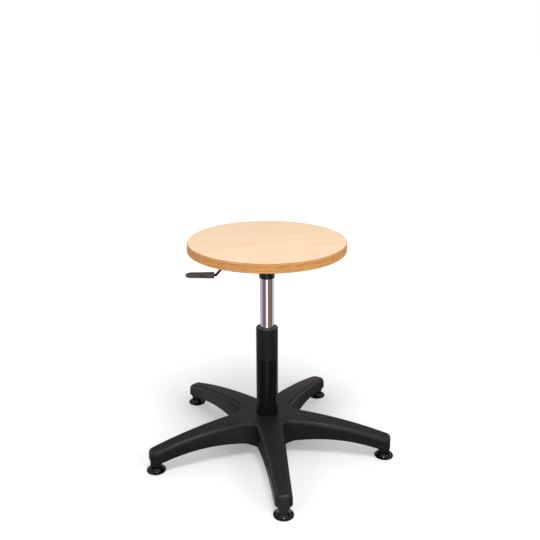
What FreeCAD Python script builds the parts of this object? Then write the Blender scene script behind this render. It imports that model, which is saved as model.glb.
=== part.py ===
import FreeCAD, Part
import math
import os
from FreeCAD import Vector

# A low workshop stool: a round plywood seat on a gas lift, carried by a moulded five-arm base
# on swivelling glides. Millimetres, Z up, floor at zero, the origin on the column's axis.
# Every height is given with the lift fully up, which is the highest position of the seat.

# Seat
SEAT_DIAMETER = 350.0
SEAT_THICKNESS = 22.0
SEAT_TOP = 505.0
SEAT_EDGE_ROUND = 3.0
SCREW_SPACING_X = 144.0
SCREW_SPACING_Y = 124.0
SCREW_DIAMETER = 5.0
SCREW_DEPTH = 14.0
SCREW_HEAD_DIAMETER = 10.0
SCREW_HEAD_HEIGHT = 3.2
SCREW_HEAD_CROWN = 2.4
SCREW_SLOT_WIDTH = 1.0
SCREW_SLOT_DEPTH = 1.4

# Pressed steel plate under the seat, with a pan in its middle
PLATE_LENGTH = 172.0
PLATE_WIDTH = 150.0
PLATE_CORNER = 20.0
PLATE_THICKNESS = 2.5
PAN_LENGTH = 112.0
PAN_WIDTH = 100.0
PAN_CORNER = 18.0
PAN_DEPTH = 28.0
PAN_DRAFT = 10.0
LEVER_SLOT_MARGIN = 1.5
LEVER_SLOT_RISE = 4.0

# Tapered socket that the lift is pushed into
SOCKET_DIAMETER = 35.0
SOCKET_LENGTH = 39.5
SOCKET_TAPER = math.radians(1.43)
SOCKET_WELD = 3.0

# Lift: chrome pressure tube and what runs in it
PRESSURE_TUBE_DIAMETER = 30.0
PRESSURE_TUBE_WALL = 1.8
PRESSURE_TUBE_CAP = 3.0
TUBE_FOOT_LIP = 1.5
TUBE_FOOT_OPENING = 16.0
TUBE_STEP_LENGTH = 4.0
INNER_TUBE_DIAMETER = 23.0
INNER_TUBE_WALL = 1.0
VALVE_LENGTH = 18.0
VALVE_NOSE_DIAMETER = 11.0
VALVE_NOSE_HEIGHT = 3.5
VALVE_PLUG_LENGTH = 4.0
PISTON_ROD_DIAMETER = 10.0
PISTON_LENGTH = 12.0
PISTON_RING_HEIGHT = 2.2
PISTON_RING_WIDTH = 2.0
ROD_TAIL_DIAMETER = 7.0
ROD_RIVET_HEIGHT = 1.5
ROD_GUIDE_LENGTH = 14.0
GUIDE_POCKET_WIDTH = 2.0
GUIDE_POCKET_DEPTH = 3.0
ROD_SEAL_LENGTH = 6.0
SEAL_LIP_WIDTH = 2.0
SEAL_LIP_FLARE = 1.0
BUTTON_DIAMETER = 9.0
BUTTON_HEIGHT = 3.8
BUTTON_DOME = 1.2
BUTTON_PIN_DIAMETER = 5.0
STROKE = 100.0
RELEASE_TRAVEL = 3.0

# Stand tube of the lift and its thrust bearing
COLUMN_DIAMETER = 50.0
COLUMN_WALL = 1.75
COLUMN_TOP = 299.0
COLUMN_BOTTOM = 36.0
COLUMN_TAPER = math.radians(1.437)
RIM_LIP = 4.0
BUSH_LENGTH = 62.0
BUSH_LAND = 12.0
BUSH_RELIEF = 0.6
BUSH_SINK = 0.6
BUSH_LEAD_IN = 1.6
END_LIP_HEIGHT = 2.0
END_LIP_WIDTH = 3.0
END_DISC_THICKNESS = 4.0
ROD_NECK_DIAMETER = 8.0
WASHER_DIAMETER = 26.0
WASHER_THICKNESS = 2.0
BALL_DIAMETER = 4.0
BALL_COUNT = 8
CAGE_THICKNESS = 2.4
CAGE_MARGIN = 1.0
BUFFER_DIAMETER = 25.0
BUFFER_LENGTH = 12.0
BUFFER_CHAMFER = 1.5
CLIP_DIAMETER = 16.0
CLIP_THICKNESS = 1.2
CLIP_GROOVE_DEPTH = 0.8
CLIP_MOUTH = 5.5
CLIP_WASHER_THICKNESS = 2.0
CLIP_WASHER_DIAMETER = 18.0
ROD_END_LENGTH = 3.0

# Five-arm base
ARM_COUNT = 5
FIRST_ARM_ANGLE = -83.2
HUB_TOP = 85.0
HUB_RIM_WIDTH = 5.0
HUB_LIP = 1.5
HUB_BOTTOM = 18.0
HUB_BOSS_WALL = 8.0
HUB_SKIRT_WIDTH = 14.0
ARM_ROOT_RADIUS = 60.0
ARM_ROOT_WIDTH = 64.0
ARM_TIP_WIDTH = 35.0
ARM_SIDE_HOLLOW = 1.5
ARM_END_MARGIN = 0.5
ARM_MID_RADIUS = 165.0
ARM_MID_TOP = 76.5
ARM_TIP_TOP = 54.0
ARCH_INNER_RADIUS = 77.0
ARCH_INNER_HEIGHT = 33.0
ARCH_CROWN_HEIGHT = 41.0
ARCH_OUTER_HEIGHT = 27.0
ARM_DRAFT = 2.0
ARM_WALL = 3.5
ARM_TOP_ROUND = 10.0
ARM_TIP_ROUND = 12.0
ARM_INNER_CHAMFER = 4.0
ARM_FORK_ROUND = 18.0
RIB_THICKNESS = 2.6
RIB_RECESS = 3.0
RIB_PITCH = 36.0

# Glides
GLIDE_CIRCLE_RADIUS = 275.0
GLIDE_DIAMETER = 43.0
GLIDE_EDGE_HEIGHT = 3.0
GLIDE_EDGE_ROUND = 1.2
GLIDE_HEIGHT = 15.0
GLIDE_NECK_DIAMETER = 24.0
GLIDE_NECK_LENGTH = 2.0
POST_DIAMETER = 26.0
STEM_DIAMETER = 11.0
STEM_INSERT = 22.0
STEM_IN_FOOT = 10.0
STEM_LEAD_IN = 3.0
STEM_TIP_CHAMFER = 2.0
STEM_SOCKET_SPARE = 2.0
GRIP_RING_ABOVE_FOOT = 12.0
GRIP_RING_SPLIT = 2.4
GRIP_RING_WIDTH = 4.0
GRIP_RING_THICKNESS = 0.8

# Release lever
LEVER_HEIGHT_BELOW_SEAT = 17.0
PIVOT_ABOVE_ROD = 7.0
PIVOT_OFFSET = 32.0
PIVOT_PIN_DIAMETER = 4.0
LEVER_ROD_DIAMETER = 6.0
LEVER_INNER_END = 2.0
LEVER_REACH = 181.5
LEVER_DROP = 42.5
LEVER_BEND = math.radians(49.0)
LEVER_BEND_RADIUS = 8.0
YOKE_WIDTH = 8.0
YOKE_LENGTH = 12.0
YOKE_WALL = 1.4
YOKE_TOP_WALL = 2.2
YOKE_SHOULDER = 1.0
EAR_THICKNESS = 2.5
EAR_MARGIN = 1.0
EAR_TOP_WALL = 3.0
PIN_HEAD_RIM = 1.5
PIN_HEAD_HEIGHT = 1.5
PIN_TAIL = 3.0
PIN_GROOVE_DEPTH = 0.6
PIN_CLIP_THICKNESS = 1.0
PIN_CLIP_RIM = 2.0
GRIP_LENGTH = 64.0
GRIP_NECK_DIAMETER = 12.5
GRIP_NECK_LENGTH = 6.0
GRIP_DISH_LENGTH = 34.0
GRIP_DISH_WIDTH = 29.0
GRIP_DISH_THICKNESS = 5.5
GRIP_EDGE_ROUND = 2.3
GRIP_SOCKET_DEPTH = 18.0
GRIP_RECESS_MARGIN = 4.0
GRIP_RECESS_DEPTH = 0.8

# Clearances, each measured on the radius or across the gap
RUNNING_FIT = 0.06
SEATED_FIT = 0.05
FREE_GAP = 0.3
SIDE_PLAY = 0.5
TOUCH_GAP = 0.2

# Small finishes, the share of a quarter arc's radius that its middle is set in, and how far a cutter
# runs past what it cuts
SMALL_CHAMFER = 0.8
ARC_TUCK = 1 - math.sqrt(0.5)
OVERCUT = 1.0

# Heights and radii that follow from the sizes above
seat_bottom = SEAT_TOP - SEAT_THICKNESS
pan_floor = seat_bottom - PAN_DEPTH
pan_floor_top = pan_floor + PLATE_THICKNESS
socket_bottom = pan_floor_top - SOCKET_LENGTH
pressure_radius = PRESSURE_TUBE_DIAMETER / 2
lever_z = seat_bottom - LEVER_HEIGHT_BELOW_SEAT
rod_bottom_z = lever_z - LEVER_ROD_DIAMETER / 2
button_top = rod_bottom_z - FREE_GAP
nose_top = button_top - BUTTON_HEIGHT - RELEASE_TRAVEL - FREE_GAP
tube_top = nose_top - VALVE_NOSE_HEIGHT

column_radius = COLUMN_DIAMETER / 2
disc_bottom = COLUMN_BOTTOM + END_LIP_HEIGHT
disc_top = disc_bottom + END_DISC_THICKNESS
lower_washer_top = disc_top + WASHER_THICKNESS
ball_centre = lower_washer_top + RUNNING_FIT + BALL_DIAMETER / 2
upper_washer_bottom = ball_centre + BALL_DIAMETER / 2 + RUNNING_FIT
rod_shoulder = upper_washer_bottom + WASHER_THICKNESS
buffer_top = rod_shoulder + BUFFER_LENGTH
tube_bottom = buffer_top + STROKE + FREE_GAP
guide_top = tube_bottom + TUBE_FOOT_LIP + ROD_GUIDE_LENGTH
seal_top = guide_top + ROD_SEAL_LENGTH
piston_bottom = seal_top + FREE_GAP
piston_top = piston_bottom + PISTON_LENGTH
valve_bottom = tube_top - PRESSURE_TUBE_CAP - VALVE_LENGTH

ball_pitch_radius = (WASHER_DIAMETER + ROD_NECK_DIAMETER) / 4
rod_tail_radius = ROD_TAIL_DIAMETER / 2
button_pin_radius = BUTTON_PIN_DIAMETER / 2
inner_tube_radius = INNER_TUBE_DIAMETER / 2
inner_bore = inner_tube_radius - INNER_TUBE_WALL
pressure_bore = pressure_radius - PRESSURE_TUBE_WALL
rod_radius = PISTON_ROD_DIAMETER / 2
neck_radius = ROD_NECK_DIAMETER / 2
stem_radius = STEM_DIAMETER / 2
ORIGIN = Vector(0, 0, 0)
UP = Vector(0, 0, 1)


def column_outside(z):
    """Outer radius of the stand tube at height z: straight above the hub, tapered inside it."""
    return column_radius - max(0.0, HUB_TOP - z) * math.tan(COLUMN_TAPER)


def socket_inside(z):
    """Outer radius of the pressure tube at height z: straight below the socket, tapered in it."""
    return pressure_radius - max(0.0, z - socket_bottom) * math.tan(SOCKET_TAPER)


def save(name, shape):
    shape.exportStep("parts/" + name + ".step")
    print(name, "solids", len(shape.Solids), "volume", round(shape.Volume), "valid", shape.isValid())


def cylinder(radius, low, high, x=0.0, y=0.0):
    return Part.makeCylinder(radius, high - low, Vector(x, y, low))


def box(x0, x1, y0, y1, z0, z1):
    return Part.makeBox(x1 - x0, y1 - y0, z1 - z0, Vector(x0, y0, z0))


def outline(steps, place):
    """A closed wire through the steps. A step is a point, or a pair: a point on an arc and its end."""
    edges = []
    here = place(*steps[0])
    for step in list(steps[1:]) + [steps[0]]:
        if isinstance(step[0], tuple):
            middle = place(*step[0])
            end = place(*step[1])
            edges.append(Part.Arc(here, middle, end).toShape())
        else:
            end = place(*step)
            if here.distanceToPoint(end) > 1e-6:
                edges.append(Part.LineSegment(here, end).toShape())
        here = end
    return Part.Wire(edges)


def turned(*steps):
    """A solid turned about Z from an outline of (radius, height) steps."""
    wire = outline(steps, lambda r, z: Vector(r, 0, z))
    return Part.Face(wire).revolve(ORIGIN, UP, 360)


def ring(outer, inner, low, high):
    return turned((inner, low), (outer, low), (outer, high), (inner, high))


def rounded_rectangle(length, width, corner, z):
    half_x = length / 2
    half_y = width / 2
    slant = corner * ARC_TUCK
    return outline([
        (half_x - corner, -half_y),
        ((half_x - slant, -half_y + slant), (half_x, -half_y + corner)),
        (half_x, half_y - corner),
        ((half_x - slant, half_y - slant), (half_x - corner, half_y)),
        (-half_x + corner, half_y),
        ((-half_x + slant, half_y - slant), (-half_x, half_y - corner)),
        (-half_x, -half_y + corner),
        ((-half_x + slant, -half_y + slant), (-half_x + corner, -half_y)),
    ], lambda x, y: Vector(x, y, z))


def circle_through(a, b, c):
    """Centre and radius of the circle through three points of a plane."""
    d = 2 * (a[0] * (b[1] - c[1]) + b[0] * (c[1] - a[1]) + c[0] * (a[1] - b[1]))
    sa = a[0] ** 2 + a[1] ** 2
    sb = b[0] ** 2 + b[1] ** 2
    sc = c[0] ** 2 + c[1] ** 2
    x = (sa * (b[1] - c[1]) + sb * (c[1] - a[1]) + sc * (a[1] - b[1])) / d
    y = (sa * (c[0] - b[0]) + sb * (a[0] - c[0]) + sc * (b[0] - a[0])) / d
    return x, y, math.hypot(a[0] - x, a[1] - y)


def arc_height(a, b, c, x):
    """Height at x of the shallow arc through three points."""
    cx, cy, radius = circle_through(a, b, c)
    side = 1 if b[1] > cy else -1
    return cy + side * math.sqrt(radius ** 2 - (x - cx) ** 2)


def cap_drop(radius, rise, r):
    """How far a shallow cap of that radius and rise has dropped at distance r from the axis."""
    ball = (radius ** 2 + rise ** 2) / (2 * rise)
    return ball - math.sqrt(ball ** 2 - r ** 2)


def arm_angles():
    return [FIRST_ARM_ANGLE + k * 360.0 / ARM_COUNT for k in range(ARM_COUNT)]


def around(shape, angle):
    turned_copy = shape.copy()
    turned_copy.rotate(ORIGIN, UP, angle)
    return turned_copy


# Base

post_radius = POST_DIAMETER / 2
arm_reach = GLIDE_CIRCLE_RADIUS + post_radius + ARM_END_MARGIN
beyond_arm = arm_reach + POST_DIAMETER
arch_outer_radius = GLIDE_CIRCLE_RADIUS - post_radius
hub_rim_radius = column_radius + HUB_RIM_WIDTH
arm_side = [(ARM_ROOT_RADIUS, ARM_ROOT_WIDTH / 2),
            ((ARM_ROOT_RADIUS + arm_reach) / 2, (ARM_ROOT_WIDTH + ARM_TIP_WIDTH) / 4 - ARM_SIDE_HOLLOW),
            (arm_reach, ARM_TIP_WIDTH / 2)]
arm_crest = [(hub_rim_radius, HUB_TOP), (ARM_MID_RADIUS, ARM_MID_TOP), (GLIDE_CIRCLE_RADIUS, ARM_TIP_TOP)]
star_low = HUB_BOTTOM - OVERCUT
star_high = HUB_TOP + OVERCUT


def side_cone(inset, side):
    """A wide cone beside one arm. What it cuts away leaves a side that leans in by the draft."""
    centre_x, centre_y, radius = circle_through(*arm_side)
    lean = math.tan(math.radians(ARM_DRAFT)) * (star_high - star_low) / 2
    return Part.makeCone(radius + inset - lean, radius + inset + lean, star_high - star_low,
                         Vector(centre_x, side * centre_y, star_low), UP)


def star_prism(inset):
    """The arms in plan as a drafted prism with rounded forks and tips, moved inwards by the inset."""
    disc = cylinder(beyond_arm, star_low, star_high)
    fork = side_cone(inset, 1).common(around(side_cone(inset, -1), 360.0 / ARM_COUNT)).common(disc)
    tip = box(arm_reach - inset, beyond_arm + OVERCUT, -ARM_ROOT_WIDTH, ARM_ROOT_WIDTH, star_low, star_high)
    prism = disc.cut([around(shape, angle) for angle in arm_angles() for shape in (fork, tip)])
    forks = upright_edges(prism, 0.0, ARM_MID_RADIUS)
    prism = prism.makeFillet(ARM_FORK_ROUND + inset, forks)
    corners = upright_edges(prism, ARM_MID_RADIUS, beyond_arm)
    return prism.makeFillet(ARM_TIP_ROUND - inset, corners)


def upright_edges(shape, near, far):
    """The edges that run from the foot of a star prism to its top, between two distances from the axis."""
    found = []
    for edge in shape.Edges:
        ends = [v.Point for v in edge.Vertexes]
        if len(ends) == 2 and abs(ends[0].z - ends[1].z) > (star_high - star_low) / 2:
            if near < math.hypot(ends[0].x, ends[0].y) < far:
                found.append(edge)
    return found


def crest_steps(inset):
    """The top of the hub and the crown of an arm, as outline steps from the axis outwards."""
    end = arc_height(*arm_crest, beyond_arm)
    return [(0.0, HUB_TOP - inset), (hub_rim_radius, HUB_TOP - inset),
            ((ARM_MID_RADIUS, ARM_MID_TOP - inset), (beyond_arm, end - inset))]


def crest_edges(body, inset):
    """The edges where the sides of a star meet its crown."""
    found = []
    for edge in body.Edges:
        middle = edge.valueAt((edge.FirstParameter + edge.LastParameter) / 2)
        radius = math.hypot(middle.x, middle.y)
        if radius < hub_rim_radius + OVERCUT:
            continue
        if abs(middle.z - arc_height(*arm_crest, radius) + inset) < OVERCUT:
            found.append(edge)
    return found


def underside_steps(floor_lift):
    """The arch under an arm, from its tip to the hub, as outline steps."""
    hub_skirt = column_radius + HUB_BOSS_WALL + HUB_SKIRT_WIDTH
    return [(beyond_arm, ARCH_OUTER_HEIGHT + floor_lift), (arch_outer_radius, ARCH_OUTER_HEIGHT + floor_lift),
            ((ARM_MID_RADIUS, ARCH_CROWN_HEIGHT + floor_lift),
             (ARCH_INNER_RADIUS, ARCH_INNER_HEIGHT + floor_lift)),
            (hub_skirt, HUB_BOTTOM + floor_lift), (0.0, HUB_BOTTOM + floor_lift)]


def star_outside():
    body = star_prism(0.0).common(turned(*(crest_steps(0.0) + underside_steps(0.0))))
    return body.makeFillet(ARM_TOP_ROUND, crest_edges(body, 0.0))


def star_hollow():
    """The space inside the arms, open underneath, one wall smaller than the outside all round."""
    core = turned(*(crest_steps(ARM_WALL) + [(beyond_arm, star_low), (0.0, star_low)]))
    body = star_prism(ARM_WALL).common(core)
    return body.makeChamfer(ARM_INNER_CHAMFER, crest_edges(body, ARM_WALL))


def arm_ribs():
    """Stiffening webs under one arm that points along X: one along it and a row across it."""
    half = RIB_THICKNESS / 2
    length = arch_outer_radius - ARCH_INNER_RADIUS
    count = int(length / RIB_PITCH)
    ribs = [box(0, GLIDE_CIRCLE_RADIUS, -half, half, 0.0, 2 * HUB_TOP)]
    for k in range(count + 1):
        x = ARCH_INNER_RADIUS + k * length / (count + 0.5)
        ribs.append(box(x - half, x + half, -ARM_ROOT_WIDTH, ARM_ROOT_WIDTH, 0.0, 2 * HUB_TOP))
    below = turned(*(underside_steps(RIB_RECESS) + [(0.0, -OVERCUT), (beyond_arm, -OVERCUT)]))
    return ribs[0].fuse(ribs[1:]).cut(below)


def star_base():
    """Moulded base: crowned arms, open and ribbed underneath, with a tapered hub and glide posts."""
    ribs = arm_ribs()
    cores = [cylinder(column_radius + HUB_BOSS_WALL, 0.0, 2 * HUB_TOP)]
    post = cylinder(post_radius, 0.0, HUB_TOP, GLIDE_CIRCLE_RADIUS)
    for angle in arm_angles():
        cores += [around(ribs, angle), around(post, angle)]
    low_post = cylinder(post_radius, GLIDE_HEIGHT, ARCH_OUTER_HEIGHT + ARM_WALL, GLIDE_CIRCLE_RADIUS)
    posts = [around(low_post, angle) for angle in arm_angles()]
    base = star_outside().cut(star_hollow().cut(cores)).fuse(posts)

    socket_top = GLIDE_HEIGHT + STEM_INSERT + STEM_SOCKET_SPARE
    socket = cylinder(stem_radius + RUNNING_FIT, GLIDE_HEIGHT - OVERCUT, socket_top, GLIDE_CIRCLE_RADIUS)
    bore_top = column_outside(HUB_TOP) + SEATED_FIT
    bore_end = HUB_BOTTOM - OVERCUT
    bore_low = column_outside(bore_end) + SEATED_FIT
    tuck = HUB_LIP * ARC_TUCK
    bore = turned((0.0, bore_end), (bore_low, bore_end), (bore_top, HUB_TOP - HUB_LIP),
                  ((bore_top + tuck, HUB_TOP - tuck), (bore_top + HUB_LIP, HUB_TOP)),
                  (bore_top + HUB_LIP, HUB_TOP + OVERCUT), (0.0, HUB_TOP + OVERCUT))
    return base.cut([bore] + [around(socket, angle) for angle in arm_angles()]).removeSplitter()


# Column

def column_tube():
    """Painted stand tube: tapered where the hub grips it, rim and foot rolled inwards."""
    wall = COLUMN_WALL
    tuck = wall * ARC_TUCK
    inside = column_radius - wall
    foot = column_outside(COLUMN_BOTTOM)
    return turned(
        (foot - END_LIP_WIDTH - wall, COLUMN_BOTTOM), (foot - wall, COLUMN_BOTTOM),
        ((foot - tuck, COLUMN_BOTTOM + tuck), (foot, COLUMN_BOTTOM + wall)),
        (column_radius, HUB_TOP), (column_radius, COLUMN_TOP - wall),
        ((column_radius - tuck, COLUMN_TOP - tuck), (column_radius - wall, COLUMN_TOP)),
        (column_radius - RIM_LIP, COLUMN_TOP), (column_radius - RIM_LIP, COLUMN_TOP - wall),
        (inside, COLUMN_TOP - wall), (inside, HUB_TOP),
        (column_outside(disc_bottom) - wall, disc_bottom),
        (foot - END_LIP_WIDTH - wall, disc_bottom))


def guide_bush():
    """Acetal bush in the top of the stand tube, touching the pressure tube on two lands."""
    top = COLUMN_TOP - COLUMN_WALL - SEATED_FIT
    low = top - BUSH_LENGTH
    outside = column_radius - COLUMN_WALL - SEATED_FIT
    bore = pressure_radius + RUNNING_FIT
    relief = bore + BUSH_RELIEF
    collar = column_radius - RIM_LIP - SEATED_FIT
    rim = COLUMN_TOP - BUSH_SINK
    return turned(
        (bore, low), (outside, low), (outside, top), (collar, top), (collar, rim),
        (bore + BUSH_LEAD_IN, rim), (bore, rim - BUSH_LEAD_IN), (bore, top - BUSH_LAND),
        (relief, top - BUSH_LAND - BUSH_RELIEF), (relief, low + BUSH_LAND + BUSH_RELIEF), (bore, low + BUSH_LAND))


def tube_end_disc():
    """Disc rolled into the foot of the stand tube, with the hole that the piston rod hangs from."""
    outside = column_outside(disc_bottom) - COLUMN_WALL - SEATED_FIT
    return ring(outside, neck_radius + FREE_GAP, disc_bottom, disc_top)


def ball_places():
    turns = [2 * math.pi * k / BALL_COUNT for k in range(BALL_COUNT)]
    return [(ball_pitch_radius * math.cos(turn), ball_pitch_radius * math.sin(turn)) for turn in turns]


def bearing_balls():
    return Part.makeCompound([Part.makeSphere(BALL_DIAMETER / 2, Vector(x, y, ball_centre))
                              for x, y in ball_places()])


def ball_cage():
    """Flat brass ring with one pocket for each ball."""
    low = ball_centre - CAGE_THICKNESS / 2
    high = ball_centre + CAGE_THICKNESS / 2
    cage = ring(WASHER_DIAMETER / 2 - CAGE_MARGIN, neck_radius + FREE_GAP + CAGE_MARGIN, low, high)
    pocket = BALL_DIAMETER / 2 + TOUCH_GAP
    return cage.cut([cylinder(pocket, low - OVERCUT, high + OVERCUT, x, y) for x, y in ball_places()])


# Lift

clip_washer_top = disc_bottom - TOUCH_GAP
clip_washer_low = clip_washer_top - CLIP_WASHER_THICKNESS
clip_low = clip_washer_low - TOUCH_GAP / 2 - CLIP_THICKNESS
clip_groove_radius = neck_radius - CLIP_GROOVE_DEPTH


def piston_rod():
    """Ground rod: neck and clip groove at its foot, riveted end through the piston at its top."""
    end = clip_low - ROD_END_LENGTH
    groove_low = clip_low - TOUCH_GAP / 2
    groove_high = clip_low + CLIP_THICKNESS + TOUCH_GAP / 2
    tail = rod_tail_radius
    tail_top = piston_top + ROD_RIVET_HEIGHT
    chamfer = SMALL_CHAMFER
    return turned(
        (0.0, end), (neck_radius - chamfer, end), (neck_radius, end + chamfer), (neck_radius, groove_low),
        (clip_groove_radius, groove_low), (clip_groove_radius, groove_high), (neck_radius, groove_high),
        (neck_radius, rod_shoulder), (rod_radius, rod_shoulder), (rod_radius, piston_bottom),
        (tail, piston_bottom), (tail, tail_top), (0.0, tail_top))


def rod_clip():
    """Open spring clip in the groove of the rod's neck."""
    inner = clip_groove_radius + SEATED_FIT
    clip = ring(CLIP_DIAMETER / 2, inner, clip_low, clip_low + CLIP_THICKNESS)
    half = CLIP_MOUTH / 2
    return clip.cut(box(0, CLIP_DIAMETER, -half, half, clip_low - OVERCUT, clip_low + CLIP_THICKNESS + OVERCUT))


def rubber_buffer():
    """Rubber ring on the rod's shoulder, which stops the pressure tube at the lowest seat height."""
    bore = rod_radius + SEATED_FIT
    outside = BUFFER_DIAMETER / 2
    chamfer = BUFFER_CHAMFER
    return turned((bore, rod_shoulder), (outside - chamfer, rod_shoulder), (outside, rod_shoulder + chamfer),
                  (outside, buffer_top - chamfer), (outside - chamfer, buffer_top), (bore, buffer_top))


def piston():
    bore = rod_tail_radius + SEATED_FIT
    outside = inner_bore - RUNNING_FIT
    groove = outside - PISTON_RING_WIDTH
    middle = (piston_bottom + piston_top) / 2
    half = PISTON_RING_HEIGHT / 2 + RUNNING_FIT
    chamfer = SMALL_CHAMFER
    return turned(
        (bore, piston_bottom), (outside - chamfer, piston_bottom), (outside, piston_bottom + chamfer),
        (outside, middle - half), (groove, middle - half), (groove, middle + half), (outside, middle + half),
        (outside, piston_top - chamfer), (outside - chamfer, piston_top), (bore, piston_top))


def piston_ring():
    outside = inner_bore - RUNNING_FIT
    middle = (piston_bottom + piston_top) / 2
    half = PISTON_RING_HEIGHT / 2
    return ring(outside, outside - PISTON_RING_WIDTH + SEATED_FIT, middle - half, middle + half)


def pressure_tube():
    """Chrome tube that carries the seat: closed and tapered at the top, rolled in at the foot."""
    taper_end = socket_inside(tube_top)
    bore_end = taper_end - PRESSURE_TUBE_WALL
    cap_low = tube_top - PRESSURE_TUBE_CAP
    nose = VALVE_NOSE_DIAMETER / 2 + SEATED_FIT
    foot = TUBE_FOOT_OPENING / 2
    lip_top = tube_bottom + TUBE_FOOT_LIP
    chamfer = SMALL_CHAMFER
    return turned(
        (foot, tube_bottom), (pressure_radius - chamfer, tube_bottom), (pressure_radius, tube_bottom + chamfer),
        (pressure_radius, socket_bottom), (taper_end, tube_top - chamfer), (taper_end - chamfer, tube_top),
        (nose, tube_top), (nose, cap_low), (bore_end, cap_low), (bore_end, socket_bottom),
        (pressure_bore, socket_bottom - TUBE_STEP_LENGTH), (pressure_bore, lip_top), (foot, lip_top))


def inner_cylinder():
    return ring(inner_tube_radius, inner_bore, seal_top, valve_bottom)


def rod_guide():
    """Turned plug that closes the foot of the pressure tube round the rod."""
    low = tube_bottom + TUBE_FOOT_LIP
    outside = pressure_bore - SEATED_FIT
    bore = rod_radius + RUNNING_FIT
    pocket = bore + GUIDE_POCKET_WIDTH
    pocket_low = guide_top - GUIDE_POCKET_DEPTH
    return turned((bore, low), (outside, low), (outside, guide_top), (pocket, guide_top), (pocket, pocket_low),
                  (bore, pocket_low))


def rod_seal():
    """Rubber lip seal on the rod guide."""
    outside = pressure_bore - SEATED_FIT
    bore = rod_radius + RUNNING_FIT
    lip = bore + SEAL_LIP_WIDTH
    lip_low = guide_top + SEAL_LIP_WIDTH
    return turned((bore, guide_top), (outside, guide_top), (outside, seal_top), (lip + SEAL_LIP_FLARE, seal_top),
                  (lip, lip_low), (bore, lip_low))


def valve_body():
    """Valve block under the tube's cap: its nose comes up through the cap round the release pin."""
    pin = button_pin_radius + RUNNING_FIT
    flange = socket_inside(tube_top) - PRESSURE_TUBE_WALL - SEATED_FIT
    top = tube_top - PRESSURE_TUBE_CAP
    nose = VALVE_NOSE_DIAMETER / 2
    plug = inner_bore - SEATED_FIT
    plug_low = valve_bottom - VALVE_PLUG_LENGTH
    chamfer = SMALL_CHAMFER
    return turned((pin, plug_low), (plug, plug_low), (plug, valve_bottom), (flange, valve_bottom), (flange, top),
                  (nose, top), (nose, nose_top - chamfer), (nose - chamfer, nose_top), (pin, nose_top))


def release_button():
    """Release pin with a domed head. It goes down by the release travel to open the valve."""
    pin = button_pin_radius
    pin_low = valve_bottom + SMALL_CHAMFER
    head = BUTTON_DIAMETER / 2
    low = button_top - BUTTON_HEIGHT
    dome = (head / 2, button_top - cap_drop(head, BUTTON_DOME, head / 2))
    return turned((0.0, pin_low), (pin, pin_low), (pin, low), (head, low),
                  (head, button_top - BUTTON_DOME), (dome, (0.0, button_top)))


def taper_socket():
    """Black steel socket welded through the pan's floor, bored to the taper of the tube."""
    low = socket_inside(socket_bottom) + SEATED_FIT
    high = socket_inside(tube_top) + SEATED_FIT
    outside = SOCKET_DIAMETER / 2
    weld = SOCKET_WELD
    weld_top = pan_floor - SEATED_FIT
    chamfer = SMALL_CHAMFER
    return turned(
        (low, socket_bottom), (outside - chamfer, socket_bottom), (outside, socket_bottom + chamfer),
        (outside, weld_top - weld), (outside + weld, weld_top), (outside, weld_top), (outside, pan_floor_top),
        (high, pan_floor_top), (high, tube_top))


# Seat

def screw_places():
    return [(sx * SCREW_SPACING_X / 2, sy * SCREW_SPACING_Y / 2) for sx in (-1, 1) for sy in (-1, 1)]


def seat_disc():
    """Plywood disc with softened edges and blind pilot holes for the screws underneath."""
    radius = SEAT_DIAMETER / 2
    soft = SEAT_EDGE_ROUND
    tuck = soft * ARC_TUCK
    disc = turned(
        (0.0, seat_bottom), (radius - soft, seat_bottom),
        ((radius - tuck, seat_bottom + tuck), (radius, seat_bottom + soft)), (radius, SEAT_TOP - soft),
        ((radius - tuck, SEAT_TOP - tuck), (radius - soft, SEAT_TOP)), (0.0, SEAT_TOP))
    pilot = SCREW_DIAMETER / 2 + SEATED_FIT
    low = seat_bottom - OVERCUT
    high = seat_bottom + SCREW_DEPTH + OVERCUT
    return disc.cut([cylinder(pilot, low, high, x, y) for x, y in screw_places()])


def seat_screws():
    """Four pan-head wood screws, heads under the plate's flange."""
    shank = SCREW_DIAMETER / 2
    head = SCREW_HEAD_DIAMETER / 2
    head_top = seat_bottom - PLATE_THICKNESS
    head_low = head_top - SCREW_HEAD_HEIGHT
    tip = seat_bottom + SCREW_DEPTH
    crown = (head / 2, head_low + cap_drop(head, SCREW_HEAD_CROWN, head / 2))
    screw = turned((0.0, head_low), (crown, (head, head_low + SCREW_HEAD_CROWN)), (head, head_top),
                   (shank, head_top), (shank, tip - shank), (0.0, tip))
    half = SCREW_SLOT_WIDTH / 2
    slot = box(-head / 2, head / 2, -half, half, head_low - OVERCUT, head_low + SCREW_SLOT_DEPTH)
    screw = screw.cut(slot.fuse(around(slot, 90)))
    screws = []
    for x, y in screw_places():
        placed = screw.copy()
        placed.translate(Vector(x, y, 0))
        screws.append(placed)
    return Part.makeCompound(screws)


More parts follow.
